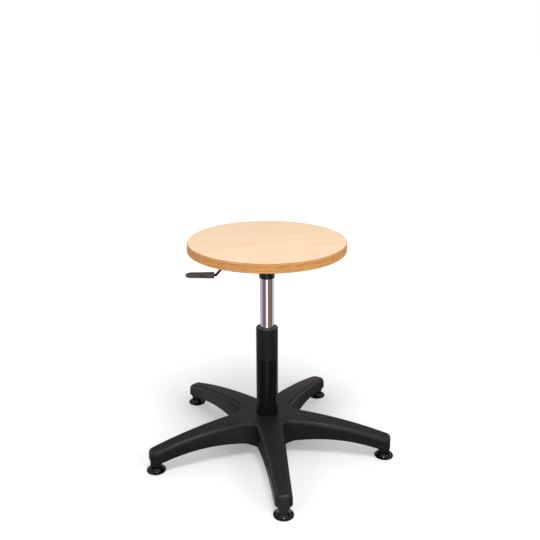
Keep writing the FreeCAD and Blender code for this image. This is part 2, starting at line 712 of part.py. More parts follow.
def seat_plate():
    """Pressed plate: a flat flange under the seat and a drafted pan that hangs from it."""
    t = PLATE_THICKNESS
    flange = Part.Face(rounded_rectangle(PLATE_LENGTH, PLATE_WIDTH, PLATE_CORNER, seat_bottom - t))
    flange = flange.extrude(Vector(0, 0, t))
    slope = 2 * PAN_DRAFT
    outer = Part.makeLoft([
        rounded_rectangle(PAN_LENGTH, PAN_WIDTH, PAN_CORNER, seat_bottom),
        rounded_rectangle(PAN_LENGTH - slope, PAN_WIDTH - slope, PAN_CORNER, pan_floor)], True, True)
    inner = Part.makeLoft([
        rounded_rectangle(PAN_LENGTH - 2 * t, PAN_WIDTH - 2 * t, PAN_CORNER - t, seat_bottom),
        rounded_rectangle(PAN_LENGTH - 2 * t - slope, PAN_WIDTH - 2 * t - slope, PAN_CORNER - t, pan_floor_top)],
        True, True)
    floor_edges = [e for e in outer.Edges if max(v.Z for v in e.Vertexes) < pan_floor + 0.1]
    outer = outer.makeFillet(2 * t, floor_edges)
    floor_edges = [e for e in inner.Edges if max(v.Z for v in e.Vertexes) < pan_floor_top + 0.1]
    inner = inner.makeFillet(t, floor_edges)
    plate = flange.fuse(outer).cut(inner)
    holes = [cylinder(SCREW_DIAMETER / 2 + FREE_GAP, seat_bottom - t - OVERCUT, seat_bottom + OVERCUT, x, y)
             for x, y in screw_places()]
    holes.append(cylinder(SOCKET_DIAMETER / 2 + SEATED_FIT, pan_floor - OVERCUT, pan_floor_top + OVERCUT))
    slot_half = LEVER_ROD_DIAMETER / 2 + LEVER_SLOT_MARGIN
    wall_x = -PAN_LENGTH / 2
    holes.append(box(wall_x, wall_x + PAN_DRAFT + 3 * t, -slot_half, slot_half, lever_z - slot_half,
                     lever_z + LEVER_ROD_DIAMETER / 2 + LEVER_SLOT_RISE))
    return plate.cut(holes).removeSplitter()


# Lever

pivot_x = -PIVOT_OFFSET
pivot_z = lever_z + PIVOT_ABOVE_ROD
ear_inner = YOKE_WIDTH / 2 + SIDE_PLAY
ear_outer = ear_inner + EAR_THICKNESS
pin_radius = PIVOT_PIN_DIAMETER / 2
ear_top = pivot_z + pin_radius + EAR_TOP_WALL
lever_tangent = LEVER_BEND_RADIUS * math.tan(LEVER_BEND / 2)
grip_mouth_x = -(LEVER_REACH - GRIP_LENGTH)
outer_bend_x = grip_mouth_x + lever_tangent + FREE_GAP
inner_bend_x = outer_bend_x + LEVER_DROP / math.tan(LEVER_BEND)
grip_z = lever_z - LEVER_DROP


def across(radius, y0, y1, x, z):
    """A cylinder along Y."""
    return Part.makeCylinder(radius, y1 - y0, Vector(x, y0, z), Vector(0, 1, 0))


def lever_bracket():
    """U bracket on the pan's floor whose ears hold the lever's pin."""
    foot_top = pan_floor_top + EAR_THICKNESS
    half = YOKE_LENGTH / 2 + EAR_MARGIN
    foot = box(pivot_x - half, pivot_x + half, -ear_outer, ear_outer, pan_floor_top, foot_top)
    ears = []
    for y0 in (-ear_outer, ear_inner):
        ear = box(pivot_x - half, pivot_x + half, y0, y0 + EAR_THICKNESS, pan_floor_top, pivot_z)
        cap = across(half, y0, y0 + EAR_THICKNESS, pivot_x, pivot_z)
        keep = box(pivot_x - half, pivot_x + half, y0, y0 + EAR_THICKNESS, pan_floor_top, ear_top)
        ears.append(ear.fuse(cap.common(keep)))
    bracket = foot.fuse(ears)
    hole = across(pin_radius + SEATED_FIT, -ear_outer - OVERCUT, ear_outer + OVERCUT, pivot_x, pivot_z)
    return bracket.cut(hole).removeSplitter()


def lever_yoke():
    """Moulded block on the rod that turns on the pin."""
    half = YOKE_LENGTH / 2
    low = rod_bottom_z - YOKE_WALL
    y = YOKE_WIDTH / 2
    shoulder = pivot_z - YOKE_SHOULDER
    crown = (pivot_x, pivot_z + pin_radius + YOKE_TOP_WALL)
    steps = [(pivot_x - half, low), (pivot_x + half, low), (pivot_x + half, shoulder),
             (crown, (pivot_x - half, shoulder))]
    block = Part.Face(outline(steps, lambda x, z: Vector(x, -y, z))).extrude(Vector(0, 2 * y, 0))
    rod_hole = Part.makeCylinder(LEVER_ROD_DIAMETER / 2 + SEATED_FIT, YOKE_LENGTH,
                                 Vector(pivot_x - half, 0, lever_z), Vector(1, 0, 0))
    pin_hole = across(pin_radius + RUNNING_FIT, -y, y, pivot_x, pivot_z)
    return block.cut([rod_hole, pin_hole])


clip_face = ear_outer + TOUCH_GAP


def lever_pin():
    """Headed pin through the ears, with a groove for its clip on the far side."""
    core = pin_radius - PIN_GROOVE_DEPTH
    pin = across(pin_radius, -ear_outer, ear_outer + PIN_TAIL, pivot_x, pivot_z)
    pin = pin.fuse(across(pin_radius + PIN_HEAD_RIM, -ear_outer - PIN_HEAD_HEIGHT, -ear_outer, pivot_x, pivot_z))
    groove_end = clip_face + PIN_CLIP_THICKNESS + TOUCH_GAP
    groove = across(pin_radius + OVERCUT, ear_outer, groove_end, pivot_x, pivot_z)
    return pin.cut(groove.cut(across(core, ear_outer, groove_end, pivot_x, pivot_z))).removeSplitter()


def pin_clip():
    """Open clip in the pin's groove."""
    end = clip_face + PIN_CLIP_THICKNESS
    core = pin_radius - PIN_GROOVE_DEPTH + SEATED_FIT
    clip = across(pin_radius + PIN_CLIP_RIM, clip_face, end, pivot_x, pivot_z)
    mouth = box(pivot_x - core, pivot_x + core, clip_face, end, pivot_z, pivot_z + PIVOT_PIN_DIAMETER * 2)
    return clip.cut([across(core, clip_face, end, pivot_x, pivot_z), mouth])


def lever_rod():
    """Bent round rod: from over the release button, out under the seat, down and into the grip."""
    dip = math.sin(LEVER_BEND)
    run = math.cos(LEVER_BEND)
    tan = lever_tangent

    def at(x, z):
        return Vector(x, 0, z)

    start = at(LEVER_INNER_END, lever_z)
    bend_in = at(inner_bend_x + tan, lever_z)
    bend_out = at(inner_bend_x - tan * run, lever_z - tan * dip)
    low_in = at(outer_bend_x + tan * run, grip_z + tan * dip)
    low_out = at(outer_bend_x - tan, grip_z)
    finish = at(grip_mouth_x - GRIP_SOCKET_DEPTH + OVERCUT, grip_z)
    sag = LEVER_BEND_RADIUS * (1 - math.cos(LEVER_BEND / 2)) / math.cos(LEVER_BEND / 2)
    half_run = math.sin(LEVER_BEND / 2)
    half_dip = math.cos(LEVER_BEND / 2)
    first = at(inner_bend_x - sag * half_run, lever_z - sag * half_dip)
    second = at(outer_bend_x + sag * half_run, grip_z + sag * half_dip)
    path = Part.Wire([
        Part.LineSegment(start, bend_in).toShape(), Part.Arc(bend_in, first, bend_out).toShape(),
        Part.LineSegment(bend_out, low_in).toShape(), Part.Arc(low_in, second, low_out).toShape(),
        Part.LineSegment(low_out, finish).toShape()])
    section = Part.Wire(Part.makeCircle(LEVER_ROD_DIAMETER / 2, start, Vector(-1, 0, 0)))
    rod = path.makePipeShell([section], True, False)
    return rod


def ogee(start, end):
    """Steps of two equal arcs that leave start and reach end level, turning halfway between."""
    dx = end[0] - start[0]
    dy = end[1] - start[1]
    radius = (dx * dx + dy * dy) / (4 * abs(dy))
    angle = math.asin(abs(dx) / 2 / radius) / 2
    sx = math.copysign(radius * math.sin(angle), dx)
    sy = math.copysign(radius * (1 - math.cos(angle)), dy)
    middle = (start[0] + dx / 2, start[1] + dy / 2)
    return [((start[0] + sx, start[1] + sy), middle), ((end[0] - sx, end[1] - sy), end)]


def mirrored(steps, start):
    """The same steps on the other side of the axis, run backwards from the last point to the start."""
    flip = []
    ends = [start] + [step[1] if isinstance(step[0], tuple) else step for step in steps]
    for k in range(len(steps) - 1, -1, -1):
        target = (ends[k][0], -ends[k][1])
        if isinstance(steps[k][0], tuple):
            flip.append(((steps[k][0][0], -steps[k][0][1]), target))
        else:
            flip.append(target)
    return flip


def lever_grip():
    """Moulded paddle: a square-shouldered neck on the rod that widens into an oval, dished end."""
    neck = GRIP_NECK_DIAMETER / 2
    half_dish = GRIP_DISH_WIDTH / 2
    half_thick = GRIP_DISH_THICKNESS / 2
    end_x = -LEVER_REACH
    outer_x = end_x + half_dish
    inner_x = end_x + GRIP_DISH_LENGTH - half_dish
    shoulder_x = grip_mouth_x - GRIP_NECK_LENGTH
    slant = half_dish * math.sqrt(0.5)
    start = (grip_mouth_x, neck)
    side = [(shoulder_x, neck)] + ogee((shoulder_x, neck), (inner_x, half_dish)) + [
        (outer_x, half_dish), ((outer_x - slant, slant), (end_x, 0.0))]
    plan = Part.Face(outline([start] + side + mirrored(side, start), lambda x, y: Vector(x, y, grip_z - GRIP_LENGTH)))
    plan = plan.extrude(Vector(0, 0, 2 * GRIP_LENGTH))
    crown = [(shoulder_x, neck)] + ogee((shoulder_x, neck), (inner_x, half_thick)) + [
        (end_x - OVERCUT, half_thick), (end_x - OVERCUT, 0.0)]
    profile = Part.Face(outline([start] + crown + mirrored(crown, start),
                                lambda x, z: Vector(x, -GRIP_DISH_WIDTH, grip_z + z)))
    profile = profile.extrude(Vector(0, 2 * GRIP_DISH_WIDTH, 0))
    grip = plan.common(profile)
    long_edges = []
    for edge in grip.Edges:
        middle = edge.valueAt((edge.FirstParameter + edge.LastParameter) / 2)
        upright = abs(edge.Vertexes[0].Z - edge.Vertexes[-1].Z) > half_thick and abs(
            edge.Vertexes[0].X - edge.Vertexes[-1].X) < 0.01
        crosswise = abs(middle.y) < 0.01 and middle.x > end_x + OVERCUT
        if middle.x < grip_mouth_x - 0.1 and not upright and not crosswise:
            long_edges.append(edge)
    grip = grip.makeFillet(GRIP_EDGE_ROUND, long_edges)
    rod_hole = Part.makeCylinder(LEVER_ROD_DIAMETER / 2 + SEATED_FIT, GRIP_SOCKET_DEPTH,
                                 Vector(grip_mouth_x, 0, grip_z), Vector(-1, 0, 0))
    pocket = half_dish - GRIP_RECESS_MARGIN
    floor = grip_z + half_thick - GRIP_RECESS_DEPTH
    above = grip_z + half_thick + OVERCUT
    recess = cylinder(pocket, floor, above, outer_x).fuse([
        cylinder(pocket, floor, above, inner_x),
        box(outer_x, inner_x, -pocket, pocket, floor, above)]).removeSplitter()
    return grip.cut([rod_hole, recess])


# Glides

def glide_foot():
    """Moulded foot: a flat disc that sweeps up to the neck under the arm's end."""
    radius = GLIDE_DIAMETER / 2
    neck = GLIDE_NECK_DIAMETER / 2
    edge = GLIDE_EDGE_ROUND
    tuck = edge * ARC_TUCK
    top = GLIDE_EDGE_HEIGHT
    neck_low = GLIDE_HEIGHT - GLIDE_NECK_LENGTH
    stem = stem_radius + SEATED_FIT
    stem_end = GLIDE_HEIGHT - STEM_IN_FOOT

    run = radius - edge - neck
    rise = neck_low - top
    sweep_radius = (run ** 2 + rise ** 2) / (2 * run)
    sweep_turn = math.asin(rise / sweep_radius) / 2
    sweep = (neck + sweep_radius * (1 - math.cos(sweep_turn)), neck_low - sweep_radius * math.sin(sweep_turn))
    return turned(
        (0.0, 0.0), (radius - edge, 0.0), ((radius - tuck, tuck), (radius, edge)), (radius, top - edge),
        ((radius - tuck, top - edge + edge * math.sqrt(0.5)), (radius - edge, top)), (sweep, (neck, neck_low)),
        (neck, GLIDE_HEIGHT), (stem, GLIDE_HEIGHT), (stem, stem_end), (0.0, stem_end))


def glide_stem():
    """Steel stem moulded into the foot, grooved for its grip ring and pointed at the top."""
    low = GLIDE_HEIGHT - STEM_IN_FOOT
    top = GLIDE_HEIGHT + STEM_INSERT
    groove_low = GLIDE_HEIGHT + GRIP_RING_ABOVE_FOOT
    groove_high = groove_low + GRIP_RING_WIDTH + 2 * TOUCH_GAP
    groove = stem_radius - GRIP_RING_THICKNESS - TOUCH_GAP
    return turned((0.0, low), (stem_radius, low), (stem_radius, groove_low), (groove, groove_low),
                  (groove, groove_high), (stem_radius, groove_high), (stem_radius, top - STEM_LEAD_IN),
                  (stem_radius - STEM_TIP_CHAMFER, top), (0.0, top))


def grip_ring():
    """Split spring ring that stays in the arm's socket and holds the stem by its groove."""
    low = GLIDE_HEIGHT + GRIP_RING_ABOVE_FOOT + TOUCH_GAP
    high = low + GRIP_RING_WIDTH
    outside = stem_radius + RUNNING_FIT
    half = GRIP_RING_SPLIT / 2
    split = ring(outside, outside - GRIP_RING_THICKNESS, low, high)
    return split.cut(box(0, STEM_DIAMETER, -half, half, low - OVERCUT, high + OVERCUT))


def at_arm(shape, angle):
    placed = shape.copy()
    placed.translate(Vector(GLIDE_CIRCLE_RADIUS, 0, 0))
    return around(placed, angle)


os.makedirs("parts", exist_ok=True)

save("star_base", star_base())
save("column_tube", column_tube())
save("guide_bush", guide_bush())
save("tube_end_disc", tube_end_disc())
washer_radius = WASHER_DIAMETER / 2
save("bearing_lower_washer", ring(washer_radius, neck_radius + FREE_GAP, disc_top, lower_washer_top))
save("bearing_upper_washer", ring(washer_radius, neck_radius + SEATED_FIT, upper_washer_bottom, rod_shoulder))
save("ball_cage", ball_cage())
save("bearing_balls", bearing_balls())
save("rubber_buffer", rubber_buffer())
save("clip_washer", ring(CLIP_WASHER_DIAMETER / 2, neck_radius + SEATED_FIT, clip_washer_low, clip_washer_top))
save("rod_clip", rod_clip())
save("piston_rod", piston_rod())
save("piston", piston())
save("piston_ring", piston_ring())
save("pressure_tube", pressure_tube())
save("inner_cylinder", inner_cylinder())
save("rod_guide", rod_guide())
save("rod_seal", rod_seal())
save("valve_body", valve_body())
save("release_button", release_button())
save("taper_socket", taper_socket())
save("seat_plate", seat_plate())
save("seat_disc", seat_disc())
save("seat_screws", seat_screws())
save("lever_bracket", lever_bracket())
save("lever_yoke", lever_yoke())
save("lever_pin", lever_pin())
save("pin_clip", pin_clip())
save("lever_rod", lever_rod())
save("lever_grip", lever_grip())

rings = []
for number, angle in enumerate(arm_angles(), 1):
    save("glide_foot_" + str(number), at_arm(glide_foot(), angle))
    save("glide_stem_" + str(number), at_arm(glide_stem(), angle))
    rings.append(at_arm(grip_ring(), angle))
save("grip_rings", Part.makeCompound(rings))
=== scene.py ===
import math

import bmesh
import bpy
from bpy.props import FloatProperty, FloatVectorProperty, IntProperty, PointerProperty
from mathutils import Matrix, Vector


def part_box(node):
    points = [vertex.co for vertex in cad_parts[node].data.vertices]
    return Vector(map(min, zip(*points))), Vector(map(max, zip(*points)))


bl_info = {
    "name": "Machinist stool",
    "version": (1, 0, 0),
    "blender": (4, 5, 0),
    "location": "View3D > Sidebar > Stool",
    "description": "Dresses a low workshop stool: plywood seat, gas lift, moulded base and glides",
    "category": "Object",
}

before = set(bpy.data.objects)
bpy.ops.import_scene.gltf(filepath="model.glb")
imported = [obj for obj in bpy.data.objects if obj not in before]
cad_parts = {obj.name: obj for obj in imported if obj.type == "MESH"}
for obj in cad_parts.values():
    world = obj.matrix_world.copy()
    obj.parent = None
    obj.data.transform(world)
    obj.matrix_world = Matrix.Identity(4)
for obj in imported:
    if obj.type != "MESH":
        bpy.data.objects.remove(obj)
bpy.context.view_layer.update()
seat_low, seat_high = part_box("seat_disc")
tube_low, tube_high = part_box("column_tube")
MM = 0.001


def linear(code):
    """An sRGB hex colour as the linear RGBA that shaders take."""
    parts = [int(code[i:i + 2], 16) / 255 for i in (1, 3, 5)]
    return (*(c / 12.92 if c <= 0.04045 else ((c + 0.055) / 1.055) ** 2.4 for c in parts), 1.0)


WHITE = linear("#FFFFFF")
BLACK = linear("#000000")


# What a user would change

def colour(name, code, description):
    """A colour that a user can change. Its default is an sRGB hex code."""
    return FloatVectorProperty(name=name, description=description, subtype="COLOR", size=4, min=0.0, max=1.0,
                               default=linear(code))


class StoolSeatSettings(bpy.types.PropertyGroup):
    ply_count: IntProperty(
        name="Plies", description="Layers of veneer glued into the board", default=9, min=3)
    veneer: FloatProperty(
        name="Face veneer", description="Thickness of the face veneer at the rounded edge",
        default=1.2 * MM, min=0.0, unit="LENGTH")
    grain_turn: FloatProperty(
        name="Grain direction", description="Turn of the face grain from the lever's axis",
        default=math.radians(28), subtype="ANGLE")
    face_pale: colour("Face", "#F6D8B8", "Pale birch of the face veneer")
    face_warm: colour("Face figure", "#F0CAA2", "Warmer clouds and grain lines in the face veneer")
    ply_contrast: FloatProperty(
        name="Ply contrast", description="How strongly the plies differ on the rim",
        default=0.85, min=0.0, max=1.0)
    glue_level: FloatProperty(
        name="Glue line", description="Height of the dark glue line, as a share of the rim",
        default=0.68, min=0.0, max=1.0)
    rim_pale: colour("Rim", "#E2A969", "Plies cut along the grain")
    rim_warm: colour("Rim end grain", "#C98A4C", "Plies cut across the grain")
    rim_dark: colour("Rim streaks", "#96501C", "Glue lines and scorched streaks on the rim")


class StoolLiftSettings(bpy.types.PropertyGroup):
    gloss_line: FloatProperty(
        name="Gloss line", description="Height on the stand tube where matt paint turns glossy",
        default=tube_high.z - 74 * MM, min=tube_low.z, max=tube_high.z, unit="LENGTH")
    matt_paint: colour("Matt paint", "#171718", "Upper part of the stand tube")
    gloss_paint: colour("Gloss paint", "#121212", "Lower part of the stand tube")
    chrome: colour("Chrome", "#C9C8CC", "Plated pressure tube")
    bush: colour("Bush", "#56585B", "Acetal bush inside the rim")


class StoolBaseSettings(bpy.types.PropertyGroup):
    nylon: colour("Nylon", "#191A1B", "Charcoal nylon of the five arms")
    nylon_worn: colour("Nylon, pale", "#232425", "Glass fibre that clouds the moulded skin")
    pebble: FloatProperty(
        name="Texture", description="Size of the moulded texture's bumps",
        default=2.2 * MM, min=0.1 * MM, unit="LENGTH")
    glide: colour("Glides", "#070707", "Glossy polypropylene of the glides")


class StoolLeverSettings(bpy.types.PropertyGroup):
    grip: colour("Grip", "#433E3B", "Moulded grip of the lever")
    grip_grain: colour("Grip grain", "#575150", "Paler grain of the grip")
    enamel: colour("Enamel", "#121213", "Stoved enamel of the rod and the plate")


class StoolStageSettings(bpy.types.PropertyGroup):
    floor: colour("Floor", "#F2F2F2", "Pale studio floor")
    ambient: FloatProperty(
        name="Ambient", description="Light that comes from all round", default=0.55, min=0.0)
    top: FloatProperty(
        name="Top light", description="Soft light overhead, a little in front",
        default=16.5, min=0.0, unit="POWER")
    right: FloatProperty(
        name="Right light", description="Soft light from the right", default=17.0, min=0.0, unit="POWER")
    left: FloatProperty(
        name="Left light", description="Soft light from the left", default=10.5, min=0.0, unit="POWER")
    # Strength of the painted reflections: a glow that shows only in the chrome and other glossy parts, not a
    # lamp.
    painted_reflections: FloatProperty(
        name="Painted reflections", description="Brightness of the cards that show in the chrome", default=2.0, min=0.0)


class StoolSettings(bpy.types.PropertyGroup):
    seat: PointerProperty(type=StoolSeatSettings)
    lift: PointerProperty(type=StoolLiftSettings)
    base: PointerProperty(type=StoolBaseSettings)
    lever: PointerProperty(type=StoolLeverSettings)
    stage: PointerProperty(type=StoolStageSettings)


# Nodes

# The inputs of a Mix node that blends colours: its factor and the two colours.
MIX, FIRST, SECOND = 0, 6, 7


def feed(node, inputs):
    """Sets a node's inputs, each to a value or an output. A node stands for its first output in use."""
    for name, value in inputs.items():
        if isinstance(value, bpy.types.Node):
            value = next(output for output in value.outputs if output.enabled)
        if isinstance(value, bpy.types.NodeSocket):
            node.id_data.links.new(value, node.inputs[name])
        else:
            node.inputs[name].default_value = value


def add(tree, kind, inputs=None, **settings):
    """Adds a node with its settings and inputs."""
    node = tree.nodes.new(kind)
    for name, value in settings.items():
        setattr(node, name, value)
    feed(node, inputs or {})
    return node


def pattern(tree, size, drawn=(1.0, 1.0, 1.0), turn=0.0, detail=2.0, roughness=0.5):
    """Noise with grains of this size, drawn out along X, Y and Z by these factors and turned about Z."""
    place = add(tree, "ShaderNodeTexCoord").outputs["Object"]
    laid = add(tree, "ShaderNodeMapping", {"Vector": place, "Scale": drawn, "Rotation": (0.0, 0.0, turn)},
               vector_type="TEXTURE")
    return add(tree, "ShaderNodeTexNoise", {"Vector": laid, "Scale": 1 / size, "Detail": detail,
                                            "Roughness": roughness})


def layered(tree, *layers):
    """Adds layers up, to 1 at most. Each has a value, two levels between which it comes in, and its share."""
    total = 0.0
    for value, low, high, share in layers:
        part = add(tree, "ShaderNodeMapRange", {"Value": value, "From Min": low, "From Max": high,
                                                "To Max": share}, interpolation_type="SMOOTHSTEP")
        total = add(tree, "ShaderNodeMath", {0: total, 1: part}, operation="ADD", use_clamp=True)
    return total


def new_material(name, shade, roughness, metallic=0.0, level=0.5):
    """A material with one surface shader. Returns the material, its tree and that shader."""
    material = bpy.data.materials.new(name)
    material.use_nodes = True
    tree = material.node_tree
    tree.nodes.clear()
    shader = add(tree, "ShaderNodeBsdfPrincipled", {"Base Color": shade, "Roughness": roughness,
                                                    "Metallic": metallic, "Specular IOR Level": level})
    add(tree, "ShaderNodeOutputMaterial", {"Surface": shader})
    return material, tree, shader


def dress(nodes, material):
    """Gives CAD nodes their finish."""
    for name in nodes:
        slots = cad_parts[name].data.materials
        slots.clear()
        slots.append(material)


# Finishes

def lacquered_birch_ply(settings):
    """Birch plywood under a satin lacquer: pale clouded faces, and plies that show as bands on the rim."""
    material, tree, shader = new_material("lacquered birch ply", settings.face_pale, 0.55, level=0.12)
    place = add(tree, "ShaderNodeTexCoord").outputs["Object"]
    height = add(tree, "ShaderNodeSeparateXYZ", {"Vector": place}).outputs["Z"]

    # Rotary-cut veneer has broad warm clouds, faint lines 3 mm apart along the grain, and flecks.
    turn = settings.grain_turn
    clouds = pattern(tree, 34 * MM, (2.2, 1.0, 1.0), turn, detail=3.0)
    lines = pattern(tree, 3 * MM, (12.0, 1.0, 1.0), turn, detail=3.0, roughness=0.6)
    flecks = pattern(tree, 7 * MM, (3.0, 1.0, 1.0), turn)
    figure = layered(tree, (clouds, 0.42, 0.68, 0.45), (lines, 0.5, 0.72, 0.4), (flecks, 0.56, 0.74, 0.4))
    face = add(tree, "ShaderNodeMix", {MIX: figure, FIRST: settings.face_pale, SECOND: settings.face_warm},
               data_type="RGBA")

    # The plies cross, so bands cut along the grain alternate with end grain, and they wander by about a ply.
    wander = 1.2
    level = add(tree, "ShaderNodeMapRange", {"Value": height, "From Min": seat_low.z, "From Max": seat_high.z,
                                             "To Max": settings.ply_count}, clamp=False)
    ripple = pattern(tree, 45 * MM, (1.0, 1.0, 9.0))
    level = add(tree, "ShaderNodeMath", {0: ripple, 1: wander, 2: level}, operation="MULTIPLY_ADD")
    crossed = add(tree, "ShaderNodeMath", {0: level, 1: 1.0}, operation="PINGPONG")
    bands = layered(tree, (crossed, 0.25, 0.75, settings.ply_contrast))
    plies = add(tree, "ShaderNodeMix", {MIX: bands, FIRST: settings.rim_pale, SECOND: settings.rim_warm},
                data_type="RGBA")

    # One dark glue line runs above the middle, faint in places.
    away = add(tree, "ShaderNodeMath", {0: level, 1: settings.ply_count * settings.glue_level},
               operation="SUBTRACT")
    away = add(tree, "ShaderNodeMath", {0: away}, operation="ABSOLUTE")
    glue_line = layered(tree, (away, 0.55, 0.1, 1.0))
    broken = layered(tree, (pattern(tree, 30 * MM), 0.35, 0.65, 0.5))

    # Long streaks and short specks break the bands up. Where they are darkest, some of the band still shows.
    darkest = 0.8
    streaks = pattern(tree, 0.9 * MM, (26.0, 26.0, 1.0), detail=4.0, roughness=0.65)
    specks = pattern(tree, 1.1 * MM, (3.0, 3.0, 1.0))
    marks = layered(tree, (streaks, 0.46, 0.7, 0.7), (specks, 0.52, 0.72, 0.3))
    marks = add(tree, "ShaderNodeMath", {0: glue_line, 1: broken, 2: marks}, operation="MULTIPLY_ADD",
                use_clamp=True)
    marks = add(tree, "ShaderNodeMath", {0: marks, 1: darkest}, operation="MULTIPLY")
    rim = add(tree, "ShaderNodeMix", {MIX: marks, FIRST: plies, SECOND: settings.rim_dark}, data_type="RGBA")

    # The face veneers fade out round the softened edges.
    start, end = settings.veneer, 0.4 * settings.veneer
    skin = layered(tree, (height, seat_high.z - start, seat_high.z - end, 1.0),
                   (height, seat_low.z + start, seat_low.z + end, 1.0))
    board = add(tree, "ShaderNodeMix", {MIX: skin, FIRST: rim, SECOND: face}, data_type="RGBA")
    relief = add(tree, "ShaderNodeBump", {"Height": lines, "Distance": 0.04 * MM, "Strength": 0.25})
    feed(shader, {"Base Color": board, "Normal": relief})
    return material


def stand_tube_paint(settings):
    """Black paint on steel tube: dull powder coat above, and a gloss coat below the line that masked it."""
    material, tree, shader = new_material("stand tube paint", settings.matt_paint, 0.5, level=0.25)
    place = add(tree, "ShaderNodeTexCoord").outputs["Object"]
    height = add(tree, "ShaderNodeSeparateXYZ", {"Vector": place}).outputs["Z"]

    # Under the masking, the edge of the powder coat is soft.
    mask_edge = 0.4 * MM
    matt = layered(tree, (height, settings.gloss_line - mask_edge, settings.gloss_line + mask_edge, 1.0))
    paint = add(tree, "ShaderNodeMix", {MIX: matt, FIRST: settings.gloss_paint, SECOND: settings.matt_paint},
                data_type="RGBA")
    dullness = add(tree, "ShaderNodeMapRange", {"Value": matt, "To Min": 0.16, "To Max": 0.52})

    # Powder coat flows into an orange peel of 1.5 mm or so, which the gloss coat fills.
    peel = pattern(tree, 1.5 * MM, detail=1.0)
    peel = add(tree, "ShaderNodeMath", {0: peel, 1: matt}, operation="MULTIPLY")
    relief = add(tree, "ShaderNodeBump", {"Height": peel, "Distance": 0.05 * MM, "Strength": 0.4})
    feed(shader, {"Base Color": paint, "Roughness": dullness, "Normal": relief})
    return material


def moulded_nylon(settings):
    """Glass-filled nylon from a textured mould: a fine pebbled skin with pale clouds where fibre shows.

    Real pebbles are under half a millimetre, too fine to show, so they are drawn coarser.
    """
    material, tree, shader = new_material("moulded nylon", settings.nylon, 0.37, level=0.25)
    pebbles = pattern(tree, settings.pebble, roughness=0.6)
    clouds = pattern(tree, 9 * MM, detail=3.0, roughness=0.7)
    pale = layered(tree, (clouds, 0.4, 0.7, 0.45), (pebbles, 0.45, 0.75, 0.4))
    skin = add(tree, "ShaderNodeMix", {MIX: pale, FIRST: settings.nylon, SECOND: settings.nylon_worn},
               data_type="RGBA")
    relief = add(tree, "ShaderNodeBump", {"Height": pebbles, "Distance": 0.15 * MM, "Strength": 0.45})
    feed(shader, {"Base Color": skin, "Normal": relief})
    return material


def moulded_grip(settings):
    """Polypropylene grip from a spark-eroded mould, whose fine dull grain is drawn coarse enough to show."""
    material, tree, shader = new_material("moulded grip", settings.grip, 0.42)
    grain = pattern(tree, 1.2 * MM)
    pale = layered(tree, (grain, 0.45, 0.75, 1.0))
    skin = add(tree, "ShaderNodeMix", {MIX: pale, FIRST: settings.grip, SECOND: settings.grip_grain},
               data_type="RGBA")
    relief = add(tree, "ShaderNodeBump", {"Height": grain, "Distance": 0.08 * MM, "Strength": 0.35})
    feed(shader, {"Base Color": skin, "Normal": relief})
    return material


# Marks that run round an upright axis are drawn out along X and Y, and clouds are as wide as they are high.
# The rings that a tool leaves are really about 0.1 mm apart, too fine to show, so they are drawn coarser.
ROUND = (30.0, 30.0, 1.0)
CLOUDS = (1.0, 1.0, 1.0)


def worked_finish(name, shade, roughness, metallic, level, spacing, drawn, depth):
    """Makes a finish with the marks of its making, which dim it, change its sheen and may stand out."""
    _, tree, shader = new_material(name, shade, roughness, metallic, level)
    marks = pattern(tree, spacing, drawn, detail=3.0, roughness=0.6)
    dimming = 0.78 if depth else 0.95
    dulled = (*(dimming * part for part in shade[:3]), 1.0)
    dulling = layered(tree, (marks, 0.35, 0.7, 1.0))
    skin = add(tree, "ShaderNodeMix", {MIX: dulling, FIRST: shade, SECOND: dulled}, data_type="RGBA")
    dullness = add(tree, "ShaderNodeMapRange", {"Value": marks, "To Min": 0.8 * roughness,
                                                "To Max": 1.2 * roughness})
    feed(shader, {"Base Color": skin, "Roughness": dullness})
    if depth:
        relief = add(tree, "ShaderNodeBump", {"Height": marks, "Distance": depth, "Strength": 0.4})
        feed(shader, {"Normal": relief})


def make_worked_finishes(stool):
    """The finishes of the metal, rubber and small plastic pieces.

    Each row is a name, colour, roughness, metallic and specular level, then the marks' spacing, how far they
    are drawn out and the depth of their relief.
    """
    for row in (
        # Hard chrome, polished until it has no relief.
        ("chrome plate", stool.lift.chrome, 0.06, 1.0, 0.5, 12.0 * MM, CLOUDS, 0.0),
        # Turned acetal shows the tool's feed.
        ("acetal bush", stool.lift.bush, 0.28, 0.0, 0.5, 0.6 * MM, ROUND, 0.01 * MM),
        # Glossy moulding with slow flow marks.
        ("polypropylene glide", stool.base.glide, 0.12, 0.0, 0.3, 9.0 * MM, CLOUDS, 0.01 * MM),
        # Enamel over pressed steel flows into a long orange peel.
        ("black stoved enamel", stool.lever.enamel, 0.33, 0.0, 0.35, 2.5 * MM, CLOUDS, 0.02 * MM),
        # Passivated zinc has faint clouds of a few millimetres.
        ("zinc plated steel", linear("#B9BCC2"), 0.34, 1.0, 0.5, 4.0 * MM, CLOUDS, 0.005 * MM),
        # Centreless grinding leaves fine rings.
        ("ground steel", linear("#A9ACB0"), 0.24, 1.0, 0.5, 0.5 * MM, ROUND, 0.004 * MM),
        # Lathe-turned aluminium has a coarser feed.
        ("machined aluminium", linear("#C4C6C9"), 0.32, 1.0, 0.5, 0.8 * MM, ROUND, 0.01 * MM),
        # Brass strip dulls in clouds.
        ("pressed brass", linear("#C9A45C"), 0.3, 1.0, 0.5, 3.0 * MM, CLOUDS, 0.005 * MM),
        # Moulded rubber blooms to a dull grain.
        ("nitrile rubber", linear("#181818"), 0.7, 0.0, 0.3, 1.5 * MM, CLOUDS, 0.03 * MM),
        # Uncoloured acetal is a waxy off-white.
        ("natural acetal", linear("#E6E5DE"), 0.35, 0.0, 0.5, 5.0 * MM, CLOUDS, 0.005 * MM),
    ):
        worked_finish(*row)


def finish_named(name):
    """A worked finish. All of them are made the first time that one is asked for."""
    if name not in bpy.data.materials:
        make_worked_finishes(bpy.context.scene.stool)
    return bpy.data.materials[name]


# Pieces

